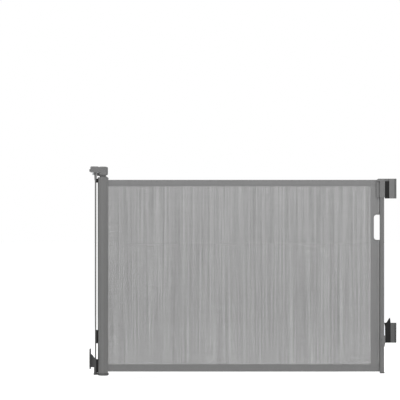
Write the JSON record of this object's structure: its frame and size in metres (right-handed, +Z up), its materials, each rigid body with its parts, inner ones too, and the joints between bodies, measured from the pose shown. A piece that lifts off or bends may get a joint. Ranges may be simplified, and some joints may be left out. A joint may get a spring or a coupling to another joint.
{
  "type": "retractable safety gate",
  "caption": "Retractable mesh safety gate: a wall-mounted roller housing, a fine grey mesh panel and a pull bar that hooks into two catches on the far wall.",
  "frame": {"origin": "middle of the opening between the two walls, in the centre plane of the housing tube, at the height of the gate's lowest point", "axes": "+X from the housing's wall to the catches' wall, -Y towards the room that the mesh faces, +Z up"},
  "size_m": [1.343, 0.0494, 0.9161],
  "materials": {
    "frame_paint": "satin grey powder coat",
    "grey_plastic": "fine moulded texture",
    "dark_plastic": "fine moulded texture",
    "black_plastic": "smooth satin",
    "steel": "zinc plated",
    "nylon": "natural nylon",
    "roller_aluminium": "mill finish",
    "mesh_fabric": "fine woven mesh",
    "hem_fabric": "woven polyester binding"
  },
  "bodies": {
    "housing": {"housing_tube": "frame_paint", "slot_liners": "nylon", "top_end_cap": "grey_plastic", "top_bushing": "nylon", "bottom_end_cap": "dark_plastic", "spring_shaft": "steel", "spring_anchor": "nylon", "torsion_spring": "steel", "lock_head_body": "grey_plastic", "lock_head_cover": "grey_plastic", "wall_screw_cover": "grey_plastic", "lock_head_screws": "steel", "rail_clamp_screw": "steel", "pawl_pin": "steel", "pawl_spring": "steel", "button_spring": "steel", "back_rail": "frame_paint", "top_spacer": "black_plastic", "middle_spacer": "black_plastic", "bottom_spacer": "black_plastic", "spacer_screws": "steel", "rail_foot": "dark_plastic", "lower_wall_bracket": "dark_plastic", "upper_catch_pocket": "black_plastic", "upper_catch_wall_plate": "grey_plastic", "upper_catch_shell": "grey_plastic", "upper_catch_screws": "steel", "lower_catch_pocket": "black_plastic", "lower_catch_wall_plate": "grey_plastic", "lower_catch_shell": "grey_plastic", "lower_catch_screws": "steel"},
    "roller": {"roller_tube": "roller_aluminium", "mesh_roll": "mesh_fabric", "roller_bottom_plug": "nylon", "spring_drive_plug": "nylon", "roller_top_plug": "nylon", "ratchet_wheel": "nylon"},
    "knob": {"lock_knob": "grey_plastic", "lock_cam": "nylon", "cam_screw": "steel"},
    "pawl": {"lock_pawl": "nylon"},
    "button": {"release_button": "grey_plastic", "button_clip": "steel"},
    "carriage": {"mesh_panel": "mesh_fabric", "top_hem": "hem_fabric", "bottom_hem": "hem_fabric", "end_band": "hem_fabric"},
    "pull_bar": {"pull_bar": "frame_paint", "keder_rod": "nylon", "bar_bottom_cap": "dark_plastic", "upper_hook_cap": "grey_plastic", "lower_hook": "grey_plastic", "lower_hook_screws": "steel"}
  },
  "joints": [
    {"name": "bar_slide", "type": "slide", "parent": "housing", "child": "carriage", "axis": [-1, 0, 0], "range_m": [0, 1.15], "deforming": ["mesh_panel", "top_hem", "bottom_hem"]},
    {"name": "bar_lift", "type": "slide", "parent": "carriage", "child": "pull_bar", "axis": [0, 0, 1], "range_m": [-0.008, 0]},
    {"name": "roller_spin", "type": "hinge", "parent": "housing", "child": "roller", "pos_m": [-0.6135, 0, 0.016], "axis": [0, 0, 1], "range_deg": [-5041, 0], "deforming": ["torsion_spring"]},
    {"name": "knob_turn", "type": "hinge", "parent": "housing", "child": "knob", "pos_m": [-0.6135, 0, 0.897], "axis": [0, 0, 1], "range_deg": [-60, 0]},
    {"name": "pawl_swing", "type": "hinge", "parent": "housing", "child": "pawl", "pos_m": [-0.6285, 0.005, 0.888], "axis": [0, 0, 1], "range_deg": [0, 24]},
    {"name": "button_press", "type": "slide", "parent": "housing", "child": "button", "axis": [0, 1, 0], "range_m": [0, 0.0025], "stiffness_N_per_m": 400, "deforming": ["button_spring"]}
  ],
  "couplings": [
    {"joint": "roller_spin", "follows": "bar_slide", "rad_per_m": -76.491},
    {"joint": "pawl_swing", "follows": "knob_turn", "ratio": -0.4}
  ]
}
